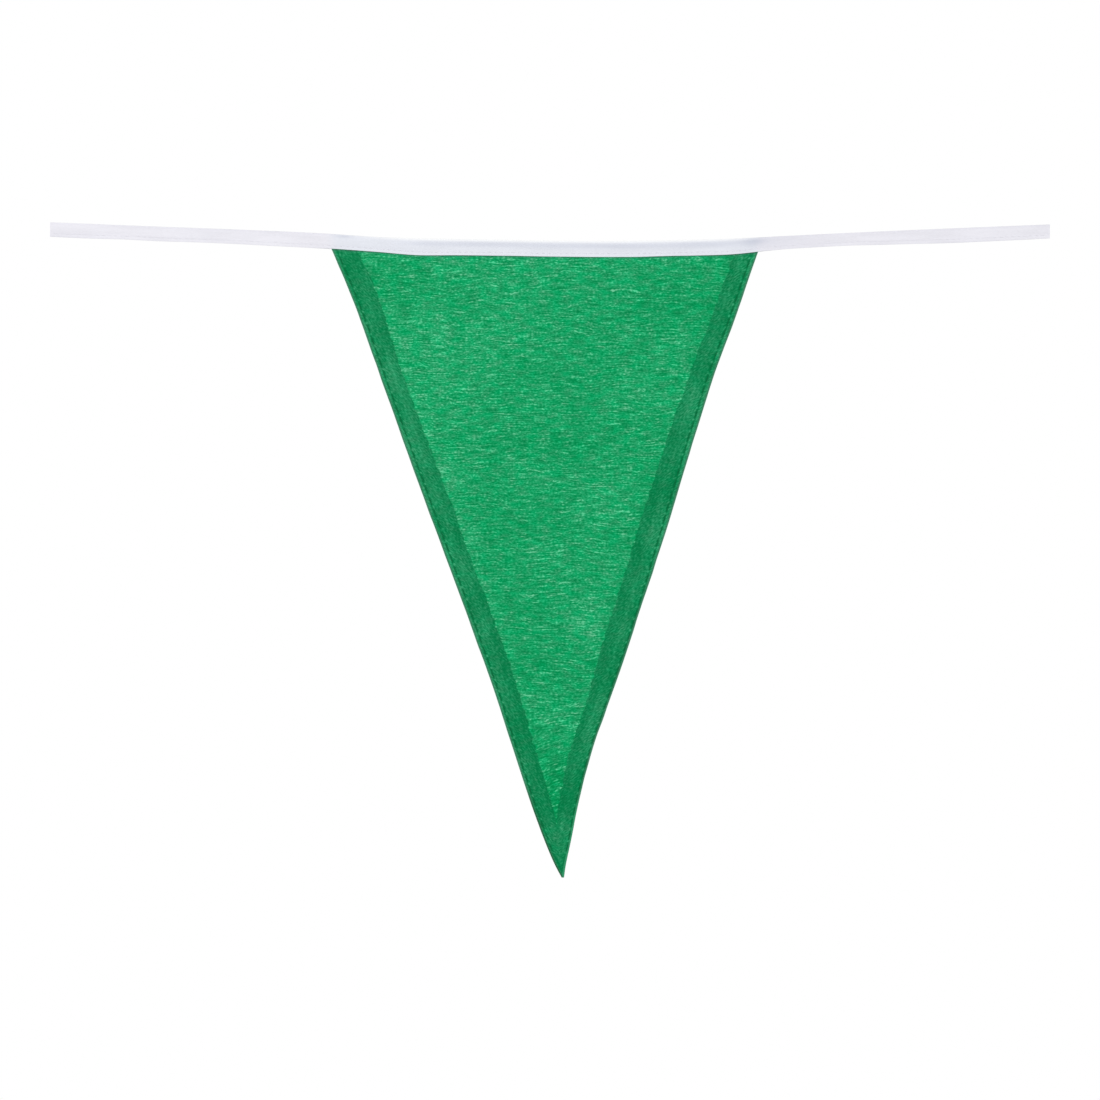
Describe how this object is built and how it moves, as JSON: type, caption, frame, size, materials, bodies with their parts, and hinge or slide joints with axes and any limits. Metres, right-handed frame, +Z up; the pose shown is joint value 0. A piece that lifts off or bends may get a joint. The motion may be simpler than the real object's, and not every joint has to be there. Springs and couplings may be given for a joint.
{
  "type": "fabric bunting",
  "caption": "Long triangular cloth pennant with stitched side bands, hung from a narrow folded tape that sags a little to both sides.",
  "frame": {"origin": "the middle of the tape's top edge, above the pennant", "axes": "+X along the tape, +Z up, the front faces -Y"},
  "size_m": [0.4706, 0.006, 0.3083],
  "materials": {
    "green_cloth": "matt plain weave with pale slubs",
    "white_tape": "matt woven tape"
  },
  "bodies": {
    "root": {"pennant": "green_cloth", "tape": "white_tape"}
  },
  "joints": []
}
